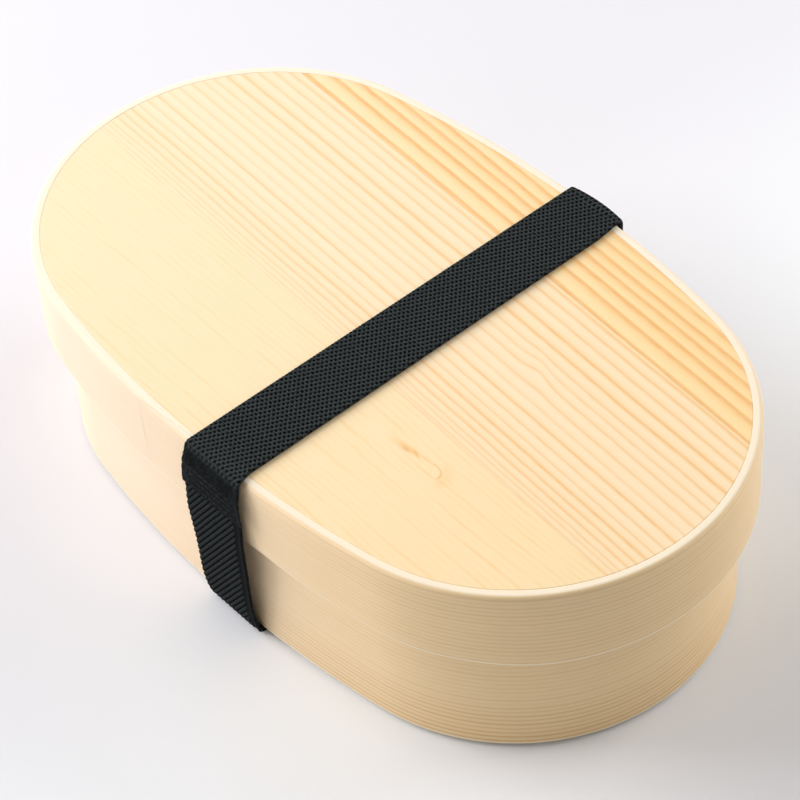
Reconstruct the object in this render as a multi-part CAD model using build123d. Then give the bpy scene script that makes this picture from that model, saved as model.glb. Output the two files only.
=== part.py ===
from build123d import *
import math
import os

# A bentwood lunch box: an oval body and a lift-off lid, each a thin strip of
# softwood bent into a hoop with a flat board let into it, held shut by an
# elastic band that goes once round the short way.
#
# Frame, in millimetres: the origin is on the surface that the box stands on,
# under the middle of the box. +X runs along the length, +Y across it, +Z up.

# ---- driving dimensions ----------------------------------------------------

# plan outline: an oval of four arcs, measured outside the lid's hoop
LID_LENGTH = 186.0
LID_WIDTH = 108.6
SIDE_RADIUS = 288.0         # radius of the two long, slightly bowed sides

# heights
BOX_HEIGHT = 52.4           # closed box, from the foot of the body to the lid's top
LID_HEIGHT = 21.0           # depth of the lid's hoop

# bent strips
LID_HOOP_T = 2.2
BODY_HOOP_T = 2.4
SIDE_CLEARANCE = 1.2        # between the two hoops along the long sides
END_CLEARANCE = 2.8         # and at the two ends, where the lid is looser
LID_EDGE_ROUND = 1.0        # outer top edge of the lid
SKIRT_EDGE_ROUND = 0.5      # outer lower edge of the lid
MOUTH_EDGE_ROUND = 0.7      # both edges of the body's mouth
FOOT_EDGE_ROUND = 0.5       # outer bottom edge of the body
ARRIS = 0.12                # small broken edges beside the let-in boards

# scarf joints, where the thinned ends of a strip lap and are glued
LID_SCARF_LENGTH = 24.0
LID_SCARF_X = -4.0          # middle of the joint, on the -Y side
BODY_SCARF_LENGTH = 34.0
BODY_SCARF_X = 6.0          # middle of the joint, on the +Y side
SCARF_TIP = 0.3             # thickness of a strip's thinned end
GLUE_LINE = 0.08

# boards
LID_BOARD_T = 4.5
BASE_BOARD_T = 4.5
LID_NEAR_SEAM_Y = -12.6     # where the lid's two plank joints cross the Y axis
LID_NEAR_SEAM_ANGLE = -3.4  # degrees from the length of the box
LID_FAR_SEAM_Y = 32.8
LID_FAR_SEAM_ANGLE = -4.0
BASE_SEAM_Y = -18.0
BASE_SEAM_ANGLE = 1.5
LID_SEAT_GAP = 0.1          # between the body's mouth and the lid's board

# loose divider
DIVIDER_T = 3.0
DIVIDER_HEIGHT = 30.0
DIVIDER_X = 25.0            # its snug place, where the bowed sides pinch it
DIVIDER_END_GAP = 0.2
DIVIDER_FOOT_GAP = 0.1
DIVIDER_CORNER = 5.0
DIVIDER_ARRIS = 0.6

# elastic band
BAND_WIDTH = 16.4
BAND_T = 1.0
BAND_X = 9.45               # middle of the band
BAND_GAP = 0.1              # to the lid and the body's sides
BAND_TOP_BEND = 0.8         # inner radius where it turns over the lid's edge
BAND_FOOT_BEND = 0.55       # and round the foot of the body
BAND_SKIRT_BEND = 6.0       # and where it leaves the lid's lower edge
BAND_LAP_BEND = 2.0         # where its outer end steps out over its inner end
BAND_LAP_DROP = 12.0        # the sewn lap ends this far below the lid's top
BAND_TUCK = 3.6             # and the inner end starts this far below it
BAND_STEP = 2.6             # height over which the outer end steps out
BAND_LAP_GAP = 0.05         # between the two layers of the lap

# stitches through the lap
STITCH_ROWS = 4
STITCH_LENGTH = 1.3
STITCH_PITCH = 1.7
STITCH_T = 0.3
STITCH_W = 0.35
STITCH_MARGIN = 1.2         # from the lap's ends and the band's edges
STITCH_GAP = 0.02           # from the band's face


# ---- plan outlines ---------------------------------------------------------

class Oval:
    """A plan outline of four tangent arcs: two bowed sides and two round ends."""

    def __init__(self, half_length, half_width, side_radius):
        self.half_length = half_length
        self.half_width = half_width
        self.side_radius = side_radius
        rest = 2 * side_radius * half_width - half_length**2 - half_width**2
        self.end_radius = rest / (2 * (side_radius - half_length))

    def inset(self, distance):
        return Oval(
            self.half_length - distance,
            self.half_width - distance,
            self.side_radius - distance,
        )

    def half_width_at(self, x):
        """Distance from the X axis to a long side, at x along the box."""
        side_centre = self.side_radius - self.half_width
        return math.sqrt(self.side_radius**2 - x**2) - side_centre

    def face(self):
        side_centre = self.side_radius - self.half_width
        end_centre = self.half_length - self.end_radius
        turn = math.atan2(side_centre, end_centre)
        join_x = self.side_radius * math.cos(turn)
        join_y = self.side_radius * math.sin(turn) - side_centre
        far_left = (-join_x, join_y)
        far_right = (join_x, join_y)
        near_left = (-join_x, -join_y)
        near_right = (join_x, -join_y)
        far_side = ThreePointArc(far_left, (0, self.half_width), far_right)
        right_end = ThreePointArc(far_right, (self.half_length, 0), near_right)
        near_side = ThreePointArc(near_right, (0, -self.half_width), near_left)
        left_end = ThreePointArc(near_left, (-self.half_length, 0), far_left)
        return make_face([far_side, right_end, near_side, left_end])


LID_OUTSIDE = Oval(LID_LENGTH / 2, LID_WIDTH / 2, SIDE_RADIUS)
LID_INSIDE = LID_OUTSIDE.inset(LID_HOOP_T)
BODY_OUTSIDE = Oval(
    LID_INSIDE.half_length - END_CLEARANCE,
    LID_INSIDE.half_width - SIDE_CLEARANCE,
    LID_INSIDE.side_radius - SIDE_CLEARANCE,
)
BODY_INSIDE = BODY_OUTSIDE.inset(BODY_HOOP_T)

# heights, from the surface that the band's lower run lies on
FOOT_Z = BAND_T
LID_TOP_Z = FOOT_Z + BOX_HEIGHT
LID_BOARD_Z = LID_TOP_Z - LID_BOARD_T
SKIRT_Z = LID_TOP_Z - LID_HEIGHT
MOUTH_Z = LID_BOARD_Z - LID_SEAT_GAP
FLOOR_Z = FOOT_Z + BASE_BOARD_T


def prism(face, low, high):
    return extrude(Pos(0, 0, low) * face, high - low, dir=(0, 0, 1))


def outer_edges(solid, top):
    """The edges round the outside of a solid's top or bottom face."""
    face = solid.faces().sort_by(Axis.Z)[-1 if top else 0]
    return face.outer_wire().edges()


def inner_edges(solid, top):
    """The edges round the inside of a ring's top or bottom face."""
    face = solid.faces().sort_by(Axis.Z)[-1 if top else 0]
    return face.inner_wires()[0].edges()


# ---- hoops -----------------------------------------------------------------

def scarf_cut(middle_x, length, outside, inside, side):
    """Thin curved cut that slants through a hoop's wall, for its scarf joint.

    It starts near the outer face at the low-x end and ends near the inner face
    at the high-x end, on the side of the box given by side, -1 or +1. At each
    end it turns square through the wall, past the blunt tip of a thinned end.
    """
    start_x = middle_x - length / 2
    end_x = middle_x + length / 2
    halfway = (outside.half_width_at(middle_x) + inside.half_width_at(middle_x)) / 2
    start = Vector(start_x, side * (outside.half_width_at(start_x) - SCARF_TIP))
    middle = Vector(middle_x, side * halfway)
    end = Vector(end_x, side * (inside.half_width_at(end_x) + SCARF_TIP))
    step = Vector(0, GLUE_LINE)
    first = ThreePointArc(start, middle, end)
    second = ThreePointArc(start + step, middle + step, end + step)
    slant = make_face([first, Line(end, end + step), second, Line(start + step, start)])
    reach = 2 * SCARF_TIP
    notch = Rectangle(GLUE_LINE, reach)
    centre = step / 2 + Vector(0, side * reach / 2)
    outlet = Pos(start + centre + Vector(GLUE_LINE / 2, 0)) * notch
    inlet = Pos(end - Vector(0, side * reach) + centre - Vector(GLUE_LINE / 2, 0)) * notch
    return slant + outlet + inlet


def lid_hoop():
    """The lid's bent strip, as deep as the lid."""
    ring = prism(LID_OUTSIDE.face() - LID_INSIDE.face(), SKIRT_Z, LID_TOP_Z)
    ring = fillet(outer_edges(ring, True), LID_EDGE_ROUND)
    ring = fillet(outer_edges(ring, False), SKIRT_EDGE_ROUND)
    ring = chamfer(inner_edges(ring, True), ARRIS)
    cut = scarf_cut(LID_SCARF_X, LID_SCARF_LENGTH, LID_OUTSIDE, LID_INSIDE, -1)
    return ring - prism(cut, SKIRT_Z - 1, LID_TOP_Z + 1)


def body_hoop():
    """The body's bent strip, from the foot to the mouth."""
    ring = prism(BODY_OUTSIDE.face() - BODY_INSIDE.face(), FOOT_Z, MOUTH_Z)
    ring = fillet(outer_edges(ring, True), MOUTH_EDGE_ROUND)
    ring = fillet(inner_edges(ring, True), MOUTH_EDGE_ROUND)
    ring = fillet(outer_edges(ring, False), FOOT_EDGE_ROUND)
    cut = scarf_cut(BODY_SCARF_X, BODY_SCARF_LENGTH, BODY_OUTSIDE, BODY_INSIDE, 1)
    return ring - prism(cut, FOOT_Z - 1, MOUTH_Z + 1)


# ---- boards ----------------------------------------------------------------

def plank_side(seam_y, seam_angle, far):
    """A large block that holds everything to one side of a plank joint."""
    reach = 2 * LID_LENGTH
    shift = reach / 2 if far else -reach / 2
    block = Pos(0, shift, 0) * Box(reach, reach, reach)
    return Pos(0, seam_y, 0) * Rot(0, 0, seam_angle) * block


def lid_board():
    """The lid's whole board, flush with the top of the hoop."""
    board = prism(LID_INSIDE.face(), LID_BOARD_Z, LID_TOP_Z)
    return chamfer(outer_edges(board, True), ARRIS)


def lid_board_near():
    """The plank on the -Y side of the lid's board."""
    return lid_board() & plank_side(LID_NEAR_SEAM_Y, LID_NEAR_SEAM_ANGLE, False)


def lid_board_middle():
    """The plank between the lid's two joints."""
    rest = lid_board() & plank_side(LID_NEAR_SEAM_Y, LID_NEAR_SEAM_ANGLE, True)
    return rest & plank_side(LID_FAR_SEAM_Y, LID_FAR_SEAM_ANGLE, False)


def lid_board_far():
    """The plank on the +Y side of the lid's board."""
    return lid_board() & plank_side(LID_FAR_SEAM_Y, LID_FAR_SEAM_ANGLE, True)


def base_board(far):
    """One plank of the base board, flush with the foot of the body."""
    board = prism(BODY_INSIDE.face(), FOOT_Z, FLOOR_Z)
    board = chamfer(outer_edges(board, False), ARRIS)
    return board & plank_side(BASE_SEAM_Y, BASE_SEAM_ANGLE, far)


# ---- divider ---------------------------------------------------------------

def divider():
    """A loose plank that stands across the box, pinched by its bowed sides."""
    tight_x = DIVIDER_X + DIVIDER_T / 2
    half = BODY_INSIDE.half_width_at(tight_x) - DIVIDER_END_GAP
    low = FLOOR_Z + DIVIDER_FOOT_GAP
    plank = Pos(DIVIDER_X, 0, low) * Box(
        DIVIDER_T, 2 * half, DIVIDER_HEIGHT, align=(Align.CENTER, Align.CENTER, Align.MIN)
    )
    corners = plank.edges().filter_by(Axis.X).group_by(Axis.Z)[-1]
    plank = fillet(corners, DIVIDER_CORNER)
    rims = plank.faces().filter_by(Axis.X).edges()
    return chamfer(rims, DIVIDER_ARRIS)


# ---- elastic band ----------------------------------------------------------

# middle of the webbing's thickness, beside and above each piece that it rounds
LID_RUN_Y = LID_OUTSIDE.half_width + BAND_GAP + BAND_T / 2
BODY_RUN_Y = BODY_OUTSIDE.half_width + BAND_GAP + BAND_T / 2
LOWER_RUN_Z = FOOT_Z - BAND_T / 2
UPPER_RUN_Z = LID_TOP_Z + BAND_GAP + BAND_T / 2
LAP_RUN_Y = LID_RUN_Y + BAND_T + BAND_LAP_GAP
TUCK_Z = LID_TOP_Z - BAND_TUCK
LAP_END_Z = LID_TOP_Z - BAND_LAP_DROP


def elastic_band():
    """One strip of webbing: from its tucked end, round the box, to its lapped end."""
    route = [
        (-LID_RUN_Y, TUCK_Z),
        (-LID_RUN_Y, SKIRT_Z),
        (-BODY_RUN_Y, LOWER_RUN_Z),
        (BODY_RUN_Y, LOWER_RUN_Z),
        (LID_RUN_Y, SKIRT_Z),
        (LID_RUN_Y, UPPER_RUN_Z),
        (-LID_RUN_Y, UPPER_RUN_Z),
        (-LAP_RUN_Y, UPPER_RUN_Z - BAND_STEP),
        (-LAP_RUN_Y, LAP_END_Z),
    ]
    half = BAND_T / 2
    skirt = BAND_SKIRT_BEND + half
    foot = BAND_FOOT_BEND + half
    top = BAND_TOP_BEND + half
    bends = [skirt, foot, foot, skirt, top, top, BAND_LAP_BEND]
    middle = FilletPolyline(*route, radius=bends)
    section = trace(middle, line_width=BAND_T)
    start = Plane.YZ.offset(BAND_X - BAND_WIDTH / 2)
    return extrude(start * section, BAND_WIDTH, dir=(1, 0, 0))


def band_stitching():
    """Short thread stitches in rows across the lap, one solid each."""
    lowest = LAP_END_Z + STITCH_MARGIN
    highest = TUCK_Z - STITCH_MARGIN
    row_step = (highest - lowest) / (STITCH_ROWS - 1)
    room = BAND_WIDTH - 2 * STITCH_MARGIN - STITCH_LENGTH
    gaps = math.floor(room / STITCH_PITCH)
    thread_y = -(LAP_RUN_Y + BAND_T / 2 + STITCH_GAP + STITCH_T / 2)
    thread = Box(STITCH_LENGTH, STITCH_T, STITCH_W)
    thread = chamfer(thread.edges().filter_by(Axis.X), STITCH_T / 4)
    stitches = []
    for row in range(STITCH_ROWS):
        z = lowest + row * row_step
        for index in range(gaps + 1):
            x = BAND_X + (index - gaps / 2) * STITCH_PITCH
            stitches.append(Pos(x, thread_y, z) * thread)
    return Compound(children=stitches)


# ---- write every piece -----------------------------------------------------

os.makedirs("parts", exist_ok=True)
pieces = {
    "lid_hoop": lid_hoop(),
    "lid_board_near": lid_board_near(),
    "lid_board_middle": lid_board_middle(),
    "lid_board_far": lid_board_far(),
    "body_hoop": body_hoop(),
    "base_board_wide": base_board(True),
    "base_board_narrow": base_board(False),
    "divider": divider(),
    "elastic_band": elastic_band(),
    "band_stitching": band_stitching(),
}
for name, piece in pieces.items():
    export_step(piece, f"parts/{name}.step")
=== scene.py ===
import math

import bmesh
import bpy
import numpy as np
from mathutils import Matrix, Vector


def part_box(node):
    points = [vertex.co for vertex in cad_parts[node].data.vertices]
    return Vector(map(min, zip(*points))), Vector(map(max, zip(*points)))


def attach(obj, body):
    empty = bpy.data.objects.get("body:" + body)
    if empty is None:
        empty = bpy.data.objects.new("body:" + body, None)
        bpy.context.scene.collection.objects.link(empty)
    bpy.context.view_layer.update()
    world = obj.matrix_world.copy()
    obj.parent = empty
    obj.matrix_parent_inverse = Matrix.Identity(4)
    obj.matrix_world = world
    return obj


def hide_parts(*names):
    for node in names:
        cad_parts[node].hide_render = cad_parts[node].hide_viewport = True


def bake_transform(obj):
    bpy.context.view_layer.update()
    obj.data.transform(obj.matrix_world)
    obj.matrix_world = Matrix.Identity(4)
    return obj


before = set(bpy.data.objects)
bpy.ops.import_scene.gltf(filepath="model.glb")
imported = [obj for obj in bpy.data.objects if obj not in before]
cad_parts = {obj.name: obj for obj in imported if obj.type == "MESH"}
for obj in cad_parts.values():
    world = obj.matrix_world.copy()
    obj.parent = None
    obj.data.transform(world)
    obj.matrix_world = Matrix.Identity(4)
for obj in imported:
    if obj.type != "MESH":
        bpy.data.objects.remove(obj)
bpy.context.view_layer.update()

MM = 0.001


# ---- sizes, in millimetres --------------------------------------------------

def span(node):
    """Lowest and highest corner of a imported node, in millimetres."""
    low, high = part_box(node)
    return np.array(low) / MM, np.array(high) / MM


LID_LOW, LID_HIGH = span("lid_hoop")
BODY_LOW, BODY_HIGH = span("body_hoop")
BAND_LOW, BAND_HIGH = span("elastic_band")

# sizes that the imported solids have
SIDE_RADIUS = 288.0
SIDE_CLEARANCE = 1.2
LID_HOOP_T = 2.2
BODY_HOOP_T = 2.4
BOARD_T = 4.5
LID_TOP = LID_HIGH[2]
SKIRT = LID_LOW[2]
MOUTH = BODY_HIGH[2]
FOOT = BODY_LOW[2]

BAND_T = 1.0
BAND_WIDTH = BAND_HIGH[0] - BAND_LOW[0]
BAND_X = (BAND_HIGH[0] + BAND_LOW[0]) / 2
BAND_GAP = 0.1
LAP_DROP = 12.0             # how far below the lid's top the sewn lap ends
NEAR_SEAM = (-12.6, -3.4)   # where a plank joint crosses the Y axis, and its angle
FAR_SEAM = (32.8, -4.0)

# where a strip's scarf joint has its middle along X, how long it is and on which side
LID_SCARF = (-4.0, 24.0, -1)
BODY_SCARF = (6.0, 34.0, 1)

# sizes that only the looks have
BAND_LEAN = -3.3            # how far the hanging run drifts along the box by the foot
LAP_SLANT = 4.8             # how far below the top run the lap stops slanting outward
LAP_PRESS = 0.55            # how much thinner the lap is at its end
LAP_PRESS_RUN = 11.5        # and how long it takes to thin
TUCK = 4.4                  # how far below the lid's top the end under the lap stops

# The weave, in cycles per millimetre: the twill along the band (three waves) and across it,
# and the ribs of the hanging run up the box and along it.
TWILL_ALONG = (0.393, 0.787, 1.180)
TWILL_ACROSS = 0.770
RIB_UP = 0.536
RIB_ALONG = 0.727
RIB_START_X = 1.0           # X of a groove at floor height, in millimetres


# ---- a small kit for materials ----------------------------------------------

def linear(red, green, blue):
    """A colour given in 0 to 255 as seen, as the shader wants it."""
    channels = []
    for value in (red, green, blue):
        value = value / 255
        low = value / 12.92
        channels.append(low if value <= 0.04045 else ((value + 0.055) / 1.055) ** 2.4)
    return (*channels, 1.0)


class Signal:
    """A number that varies over a surface, usable in Python expressions."""

    def __init__(self, finish, socket):
        self.finish = finish
        self.socket = socket

    def __add__(self, other):
        return self.finish.maths("ADD", self, other)

    __radd__ = __add__

    def __sub__(self, other):
        return self.finish.maths("SUBTRACT", self, other)

    def __rsub__(self, other):
        return self.finish.maths("SUBTRACT", other, self)

    def __mul__(self, other):
        return self.finish.maths("MULTIPLY", self, other)

    __rmul__ = __mul__

    def __truediv__(self, other):
        return self.finish.maths("DIVIDE", self, other)

    def __pow__(self, other):
        return self.finish.maths("POWER", self, other)

    def __neg__(self):
        return self.finish.maths("MULTIPLY", self, -1.0)

    def clip(self):
        return self.finish.node("ShaderNodeClamp", {}, {"Value": self})["Result"]


class Node:
    """One shader node, whose outputs are read by name as signals."""

    def __init__(self, finish, node):
        self.finish = finish
        self.node = node

    def __getitem__(self, name):
        return Signal(self.finish, self.node.outputs[name])


class Finish:
    """A material under construction."""

    def __init__(self, name):
        self.material = bpy.data.materials.new(name)
        self.material.use_nodes = True
        self.tree = self.material.node_tree
        self.shader = self.tree.nodes["Principled BSDF"]

    def node(self, kind, settings, sockets):
        made = self.tree.nodes.new(kind)
        for name, value in settings.items():
            setattr(made, name, value)
        for name, value in sockets.items():
            self.feed(made.inputs[name], value)
        return Node(self, made)

    def feed(self, socket, value):
        """Links a signal to a socket, or sets a plain value on it."""
        if isinstance(value, Signal):
            self.tree.links.new(value.socket, socket)
        else:
            socket.default_value = value

    def maths(self, operation, *values):
        return self.node("ShaderNodeMath", {"operation": operation}, dict(enumerate(values)))["Value"]

    def between(self, value, low, high):
        """0 below low, 1 above high, and a smooth turn in between; low may be the larger."""
        flip = low > high
        sockets = {"Value": value, "From Min": min(low, high), "From Max": max(low, high)}
        ramp = self.node("ShaderNodeMapRange", {"interpolation_type": "SMOOTHSTEP"}, sockets)["Result"]
        return 1 - ramp if flip else ramp

    def bell(self, value, centre, width):
        """1 at centre, falling to nothing over about twice the width."""
        off = (value - centre) / width
        return self.maths("EXPONENT", -(off * off))

    def combine(self, x, y, z):
        return self.node("ShaderNodeCombineXYZ", {}, {"X": x, "Y": y, "Z": z})["Vector"]

    def noise(self, x, y, z, detail=2.0):
        """Smooth noise about 0, most of it within 0.3."""
        sockets = {"Vector": self.combine(x, y, z), "Scale": 1.0, "Detail": detail, "Roughness": 0.55}
        return self.node("ShaderNodeTexNoise", {}, sockets)["Fac"] - 0.5

    def per_step(self, value, seed):
        """A fixed random number from 0 to 1 for each whole step of a value."""
        step = self.maths("FLOOR", value)
        sockets = {"W": step + seed}
        return self.node("ShaderNodeTexWhiteNoise", {"noise_dimensions": "1D"}, sockets)["Value"]

    def mix(self, share, first, second):
        """A blend of two colours."""
        made = self.node("ShaderNodeMix", {"data_type": "RGBA"}, {0: share})
        self.feed(made.node.inputs[6], first)
        self.feed(made.node.inputs[7], second)
        return Signal(self, made.node.outputs[2])

    def place(self):
        """Where a point is on the object, in millimetres."""
        where = self.node("ShaderNodeTexCoord", {}, {})["Object"]
        split = self.node("ShaderNodeSeparateXYZ", {}, {"Vector": where})
        return split["X"] / MM, split["Y"] / MM, split["Z"] / MM

    def sheet(self, layer):
        """Where a point is on the piece's own sheet, in millimetres."""
        where = self.node("ShaderNodeUVMap", {"uv_map": layer}, {})["UV"]
        split = self.node("ShaderNodeSeparateXYZ", {}, {"Vector": where})
        return split["X"] / MM, split["Y"] / MM

    def attribute(self, name):
        return self.node("ShaderNodeAttribute", {"attribute_name": name}, {})["Fac"]

    def wear(self, colour, rough, height, depth, constants):
        """Joins the colour, roughness and relief to the shader."""
        self.feed(self.shader.inputs["Base Color"], colour)
        self.feed(self.shader.inputs["Roughness"], rough)
        relief = self.node("ShaderNodeBump", {}, {"Height": height, "Distance": depth, "Strength": 1.0})
        self.feed(self.shader.inputs["Normal"], relief["Normal"])
        for name, value in constants.items():
            self.shader.inputs[name].default_value = value
        return self.material


WOOD_SHEEN = {"Specular IOR Level": 0.3}
FIBRE_SHEEN = {"Specular IOR Level": 0.05}


# ---- wood -------------------------------------------------------------------

# Growth lines of the lined lid plank: where each crosses the Y axis, its depth of colour
# and its half thickness.
THIN_LINES = [
    (-11.8, 0.45, 0.25), (-10.5, 0.5, 0.22), (-9.3, 0.55, 0.25), (-7.5, 0.75, 0.3), (-5.6, 0.7, 0.3),
    (-3.4, 0.85, 0.35), (-1.3, 0.55, 0.25), (1.1, 0.6, 0.28), (3.8, 0.85, 0.3), (6.5, 0.4, 0.3),
    (9.2, 0.55, 0.32), (12.2, 0.6, 0.3), (14.7, 0.5, 0.3), (17.1, 0.6, 0.32), (20.0, 0.9, 0.38),
    (23.1, 0.95, 0.38), (26.2, 0.65, 0.35), (29.0, 0.7, 0.35), (31.6, 0.75, 0.4),
]

# Growth bands of the warm lid plank: where each one's sharp side crosses the Y axis, and its
# depth of colour.
BROAD_BANDS = [(33.6, 0.75), (37.7, 0.8), (41.1, 0.85), (44.1, 0.75), (46.8, 0.8), (49.9, 0.7), (52.6, 0.6)]


class Plank:
    """Distances along and across a plank's grain, and the fibre that every plank shows."""

    def __init__(self, finish, slope, curve, seed):
        self.finish = finish
        self.seed = seed
        self.x, self.y, self.z = finish.place()
        self.along = self.x + self.y * slope
        self.across = self.y - self.x * slope + self.x * self.x * curve
        # painted light: 0 at the -X end, where the light falls brightest, rising to 1 towards +X; the wood is
        # painted paler towards -X
        self.painted_light_falloff = finish.between(self.x, -70.0, 90.0)

    def drift(self, long, wide, size):
        """Slow wander of the grain, in millimetres."""
        return self.finish.noise(self.along / long, self.across / wide, self.seed, 1.0) * size

    def streaks(self, long, fine):
        """Fine fibre streaks about 0."""
        return self.finish.noise(self.along / long, (self.across + self.z * 0.6) / fine, self.seed + 7.3, 3.0)

    def seam_line(self, seam, least, most):
        """Colour of a plank joint, stronger and weaker along its length."""
        y0, angle = seam
        turn = math.radians(angle)
        off = (self.y - y0) * math.cos(turn) - self.x * math.sin(turn)
        spots = self.finish.noise(self.x / 9, 3.1, self.seed, 2.0)
        strength = self.finish.between(spots, -0.15, 0.25) * (most - least) + least
        return self.finish.bell(off, 0.0, 0.2) * strength

    def body_colour(self, pale, deep):
        """Wood painted paler towards -X, where the light falls brightest, and a little deeper towards +X,
        with soft clouds.
        """
        cloud = self.finish.noise(self.along / 30, self.across / 9, self.seed + 3, 2.0)
        share = (self.painted_light_falloff + cloud * 0.5).clip()
        return self.finish.mix(share, linear(*pale), linear(*deep))


def grown_over_knot(finish, x, y):
    """A small knot as two spots and a broken ring: its warm colour, and its dark cores."""
    left_eye = finish.bell(x - (y + 23.2) * 1.5, 34.4, 3.0) * finish.bell(y, -23.2, 0.9)
    left_spot = finish.bell(x, 34.4, 0.9) * finish.bell(y, -23.6, 0.38)
    mid_spot = finish.bell(x, 36.9, 1.0) * finish.bell(y + x * 0.25, -13.7, 0.25)
    ring_x = (x - 42.3) / 2.75
    ring_y = (y + 24.0) / 1.75
    radius = finish.maths("SQRT", ring_x * ring_x + ring_y * ring_y)
    arc = finish.bell(radius, 1.0, 0.13) * finish.between(ring_x + ring_y, 0.3, 1.0)
    halo = finish.bell(radius, 1.45, 0.6) * finish.between(ring_x + ring_y * 0.3, 0.5, 1.4)
    bridge = finish.bell(x, 39.8, 1.9) * finish.bell(y, -22.5, 0.32)
    warm = (left_eye * 0.8 + halo * 0.28 + arc * 0.55 + bridge * 0.5 + mid_spot * 0.5).clip()
    dark = (left_spot * 0.3 + mid_spot * 0.2 + arc * arc * 0.15).clip()
    return warm, dark


def plain_plank():
    """Flat-sawn plank: pale, with faint wavering lines and one small grown-over knot."""
    finish = Finish("pale_softwood_flat_sawn")
    plank = Plank(finish, -0.02, 4.4e-5, 11.0)
    x, y = plank.x, plank.y
    swirl = finish.bell(x, 40.0, 9.0) * finish.bell(y, -23.5, 4.5)
    ripple = finish.bell(x, 27.0, 9.0) * finish.bell(y, -32.0, 8.0)
    bend = finish.noise(x / 5, y / 3, 4.0, 2.0) * ripple * 3.0
    across = plank.across + plank.drift(45.0, 18.0, 4.0) + swirl * 1.5 + bend
    phase = across / 1.5
    strength = finish.per_step(phase, 3.0)
    saw = finish.maths("FRACT", phase)
    patches = finish.between(finish.noise(plank.along / 16, across / 2.5, 2.0, 2.0), -0.2, 0.25)
    lines = finish.bell(saw, 0.5, 0.22) * (strength * 0.8 + 0.2) * patches
    warm, dark = grown_over_knot(finish, x, y)
    colour = plank.body_colour((239, 219, 183), (240, 215, 171))
    streak = plank.streaks(7.0, 0.35)
    # painted light: the lines are painted fainter towards -X, where the light falls brightest
    visible = plank.painted_light_falloff * 0.6 + 0.4
    colour = finish.mix((lines * visible * 0.8 + streak * 0.4 + 0.04).clip(), colour, linear(236, 196, 134))
    colour = finish.mix(warm * 0.85, colour, linear(234, 182, 108))
    colour = finish.mix(dark, colour, linear(196, 134, 66))
    colour = finish.mix(plank.seam_line(NEAR_SEAM, 0.1, 0.45), colour, linear(226, 178, 120))
    height = streak * 0.25 - lines
    return finish.wear(colour, 0.62 - streak * 0.2, height, 0.00002, WOOD_SHEEN)


def lined_plank():
    """Plank with thin growth lines, close together at one edge and wider at the other."""
    finish = Finish("pale_softwood_growth_lines")
    plank = Plank(finish, -0.0629, 4.4e-5, 23.0)
    x, y = plank.x, plank.y
    hump = finish.bell(x + y, 48.5, 3.4) * finish.bell(y, 11.0, 4.2)
    wander = plank.drift(46.0, 14.0, 0.6) + finish.noise(plank.along / 8, plank.across / 6, 2.0, 1.0) * 0.22
    across = plank.across + wander - hump * 0.95
    fine = finish.noise(plank.along / 4, across * 1.4, 9.0, 3.0)
    broken = (fine * 1.1 + 0.85).clip()
    grain = across + fine * 0.28
    lines = finish.bell(grain, -13.0, 0.15) * 0.2
    glow = finish.bell(grain, -13.0, 0.5) * 0.1
    for place, depth, thick in THIN_LINES:
        off = (grain - place) / thick
        lines = lines + finish.maths("EXPONENT", -(off * off)) * (depth * 0.8)
        wide = (grain - place - 0.25) / (thick * 2.6)
        glow = glow + finish.maths("EXPONENT", -(wide * wide)) * (depth * 0.42)
    # painted light: the lines and their glow are painted fainter towards -X, where the light falls brightest
    visible = plank.painted_light_falloff * 0.35 + 0.65
    hair = finish.bell(finish.maths("FRACT", grain / 0.62), 0.5, 0.16) * finish.between(fine, 0.0, 0.3)
    colour = plank.body_colour((239, 220, 188), (240, 217, 181))
    streak = plank.streaks(6.0, 0.3)
    share = (glow * visible + streak * 0.3 + hair * 0.16).clip()
    colour = finish.mix(share, colour, linear(238, 196, 132))
    colour = finish.mix((lines * broken * visible).clip(), colour, linear(231, 174, 98))
    colour = finish.mix(plank.seam_line(NEAR_SEAM, 0.1, 0.45), colour, linear(226, 178, 120))
    colour = finish.mix(plank.seam_line(FAR_SEAM, 0.0, 0.3), colour, linear(216, 160, 96))
    height = streak * 0.25 + lines * 0.8
    return finish.wear(colour, 0.62 - streak * 0.2, height, 0.00002, WOOD_SHEEN)


def banded_plank():
    """Plank with broad growth bands that darken slowly and end sharply."""
    finish = Finish("warm_softwood_growth_bands")
    plank = Plank(finish, -0.0743, 3.8e-5, 37.0)
    wander = plank.drift(50.0, 14.0, 0.8) + finish.noise(plank.along / 9, plank.across / 5, 6.0, 2.0) * 0.3
    across = plank.across + wander
    fine = finish.noise(plank.along / 4, across * 1.4, 19.0, 3.0)
    grain = across + fine * 0.3
    band = finish.bell(grain, 30.0, 0.1)
    deep = band
    for place, depth in BROAD_BANDS:
        rise = ((grain - (place - 3.0)) / 3.0).clip() ** 2.2
        fall = finish.between(grain, place + 0.75, place + 0.05)
        band = band + rise * fall * depth
        deep = deep + finish.bell(grain, place - 0.2, 0.45) * (depth * 0.55)
    colour = plank.body_colour((241, 217, 172), (241, 212, 159))
    streak = plank.streaks(6.0, 0.28)
    share = (band * (fine * 0.5 + 0.85) + streak * 0.3).clip()
    colour = finish.mix(share, colour, linear(233, 174, 102))
    colour = finish.mix((deep * (fine * 1.2 + 0.5)).clip(), colour, linear(218, 152, 80))
    colour = finish.mix(plank.seam_line(FAR_SEAM, 0.1, 0.6), colour, linear(208, 146, 82))
    height = streak * 0.25 + band * 0.8
    return finish.wear(colour, 0.6 - streak * 0.2, height, 0.00003, WOOD_SHEEN)


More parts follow.
